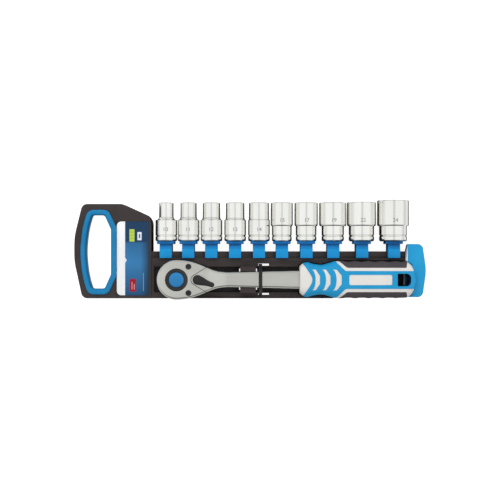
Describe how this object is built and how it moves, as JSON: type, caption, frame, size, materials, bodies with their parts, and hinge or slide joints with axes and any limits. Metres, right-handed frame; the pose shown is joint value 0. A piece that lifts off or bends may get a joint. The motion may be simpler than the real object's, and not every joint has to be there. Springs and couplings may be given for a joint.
{
  "type": "socket wrench set on a carry rail",
  "caption": "Carry rail with a handle block, sockets on clip holders above a tray that holds a reversible ratchet, and an end cap.",
  "frame": {"origin": "centre of the back plane, under the middle of the bounding box", "axes": "+X along the rail from the handle block to the end cap, +Y towards the sockets' mouths, +Z off the back towards the ratchet's lever"},
  "size_m": [0.3437, 0.0967, 0.0393],
  "materials": {
    "black_plastic": "fine moulded grain",
    "blue_rubber": "soft satin",
    "blue_plastic": "smooth satin",
    "white_strip": "smooth",
    "blue_card": "printed and glazed",
    "blue_clip": "smooth satin",
    "chrome": "polished",
    "satin_chrome": "satin chrome",
    "black_steel": "blackened",
    "blue_button": "smooth",
    "plain_steel": "ground",
    "black_lever": "satin black",
    "white_core": "smooth satin",
    "blue_grip": "soft satin",
    "dark_pad": "fine grain",
    "black_strap": "satin"
  },
  "bodies": {
    "tray": {"tray_body": "black_plastic", "handle_grip_ring": "blue_rubber", "end_cap": "blue_plastic", "label_strip": "white_strip", "label_card": "blue_card", "holder_1": "blue_clip", "holder_2": "blue_clip", "holder_3": "blue_clip", "holder_4": "blue_clip", "holder_5": "blue_clip", "holder_6": "blue_clip", "holder_7": "blue_clip", "holder_8": "blue_clip", "holder_9": "blue_clip", "holder_10": "blue_clip"},
    "socket_10mm_body": {"socket_10mm": "chrome"},
    "socket_11mm_body": {"socket_11mm": "chrome"},
    "socket_12mm_body": {"socket_12mm": "chrome"},
    "socket_13mm_body": {"socket_13mm": "chrome"},
    "socket_14mm_body": {"socket_14mm": "chrome"},
    "socket_15mm_body": {"socket_15mm": "chrome"},
    "socket_17mm_body": {"socket_17mm": "chrome"},
    "socket_19mm_body": {"socket_19mm": "chrome"},
    "socket_22mm_body": {"socket_22mm": "chrome"},
    "socket_24mm_body": {"socket_24mm": "chrome"},
    "ratchet": {"ratchet_body": "satin_chrome", "cover_plate": "satin_chrome", "cover_screws": "black_steel", "handle_core": "white_core", "grip_overmould": "blue_grip", "grip_side_pads": "dark_pad", "tie_strap": "black_strap"},
    "drive": {"drive_gear": "black_steel", "button_spring": "plain_steel"},
    "button": {"release_button": "blue_button", "release_pin": "plain_steel"},
    "ball": {"locking_ball": "plain_steel"},
    "lever": {"reversing_lever": "black_lever", "pawl_plunger": "plain_steel", "pawl_spring": "plain_steel"},
    "pawl": {"pawl": "plain_steel"}
  },
  "joints": [
    {"name": "socket_10mm_pull", "type": "slide", "parent": "tray", "child": "socket_10mm_body", "axis": [0, 1, 0], "range_m": [0, 0.025]},
    {"name": "socket_11mm_pull", "type": "slide", "parent": "tray", "child": "socket_11mm_body", "axis": [0, 1, 0], "range_m": [0, 0.025]},
    {"name": "socket_12mm_pull", "type": "slide", "parent": "tray", "child": "socket_12mm_body", "axis": [0, 1, 0], "range_m": [0, 0.025]},
    {"name": "socket_13mm_pull", "type": "slide", "parent": "tray", "child": "socket_13mm_body", "axis": [0, 1, 0], "range_m": [0, 0.025]},
    {"name": "socket_14mm_pull", "type": "slide", "parent": "tray", "child": "socket_14mm_body", "axis": [0, 1, 0], "range_m": [0, 0.025]},
    {"name": "socket_15mm_pull", "type": "slide", "parent": "tray", "child": "socket_15mm_body", "axis": [0, 1, 0], "range_m": [0, 0.025]},
    {"name": "socket_17mm_pull", "type": "slide", "parent": "tray", "child": "socket_17mm_body", "axis": [0, 1, 0], "range_m": [0, 0.025]},
    {"name": "socket_19mm_pull", "type": "slide", "parent": "tray", "child": "socket_19mm_body", "axis": [0, 1, 0], "range_m": [0, 0.025]},
    {"name": "socket_22mm_pull", "type": "slide", "parent": "tray", "child": "socket_22mm_body", "axis": [0, 1, 0], "range_m": [0, 0.025]},
    {"name": "socket_24mm_pull", "type": "slide", "parent": "tray", "child": "socket_24mm_body", "axis": [0, 1, 0], "range_m": [0, 0.025]},
    {"name": "ratchet_lift", "type": "slide", "parent": "tray", "child": "ratchet", "axis": [0, 0, 1], "range_m": [0, 0.04]},
    {"name": "drive_spin", "type": "hinge", "parent": "ratchet", "child": "drive", "pos_m": [-0.071, -0.0296, 0.025], "axis": [0, 0, 1], "continuous": true},
    {"name": "button_press", "type": "slide", "parent": "drive", "child": "button", "axis": [0, 0, -1], "range_m": [0, 0.0025], "stiffness_N_per_m": 800, "springref_m": -0.002, "deforming": ["button_spring"]},
    {"name": "ball_retract", "type": "slide", "parent": "drive", "child": "ball", "axis": [1, 0, 0], "range_m": [0, 0.0008]},
    {"name": "lever_turn", "type": "hinge", "parent": "ratchet", "child": "lever", "pos_m": [-0.0506, -0.0296, 0.035], "axis": [0, 0, 1], "range_deg": [0, 38]},
    {"name": "pawl_swing", "type": "hinge", "parent": "ratchet", "child": "pawl", "pos_m": [-0.071, -0.0296, 0.025], "axis": [0, 0, 1], "range_deg": [-10, 0]}
  ],
  "couplings": [
    {"joint": "ball_retract", "follows": "button_press", "ratio": 0.32},
    {"joint": "pawl_swing", "follows": "lever_turn", "ratio": -0.2631}
  ]
}
